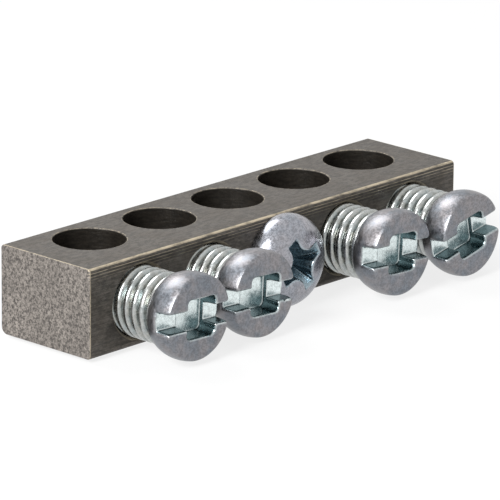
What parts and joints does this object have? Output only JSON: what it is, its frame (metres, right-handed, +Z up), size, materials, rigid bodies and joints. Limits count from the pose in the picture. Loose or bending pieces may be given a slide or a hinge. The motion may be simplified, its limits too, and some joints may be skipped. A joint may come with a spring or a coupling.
{
  "type": "earth terminal bar",
  "caption": "Slim metal bar with a row of upright wire holes, a ball-headed clamping screw at each and a pan head screw through its middle to mount it.",
  "frame": {"origin": "middle of the bar's bottom face", "axes": "+X along the bar, -Y out of the face that the screws enter, +Z up along the wire holes"},
  "size_m": [0.0462, 0.0202, 0.0083],
  "materials": {
    "bar_metal": "dull grey-brown drawn metal with speckled sawn ends",
    "screw_zinc": "zinc plated, satin with bright thread crests",
    "mounting_zinc": "zinc plated, smooth and bright"
  },
  "bodies": {
    "bar_body": {"bar": "bar_metal", "mounting_screw": "mounting_zinc"},
    "screw_1": {"terminal_screw_1": "screw_zinc"},
    "screw_2": {"terminal_screw_2": "screw_zinc"},
    "screw_3": {"terminal_screw_3": "screw_zinc"},
    "screw_4": {"terminal_screw_4": "screw_zinc"}
  },
  "joints": [
    {"name": "screw_1_travel", "type": "slide", "parent": "bar_body", "child": "screw_1", "axis": [0, 1, 0], "range_m": [-0.00154, 0.0039]},
    {"name": "screw_2_travel", "type": "slide", "parent": "bar_body", "child": "screw_2", "axis": [0, 1, 0], "range_m": [-0.00199, 0.00345]},
    {"name": "screw_3_travel", "type": "slide", "parent": "bar_body", "child": "screw_3", "axis": [0, 1, 0], "range_m": [-0.00154, 0.0039]},
    {"name": "screw_4_travel", "type": "slide", "parent": "bar_body", "child": "screw_4", "axis": [0, 1, 0], "range_m": [-0.00094, 0.0045]}
  ]
}
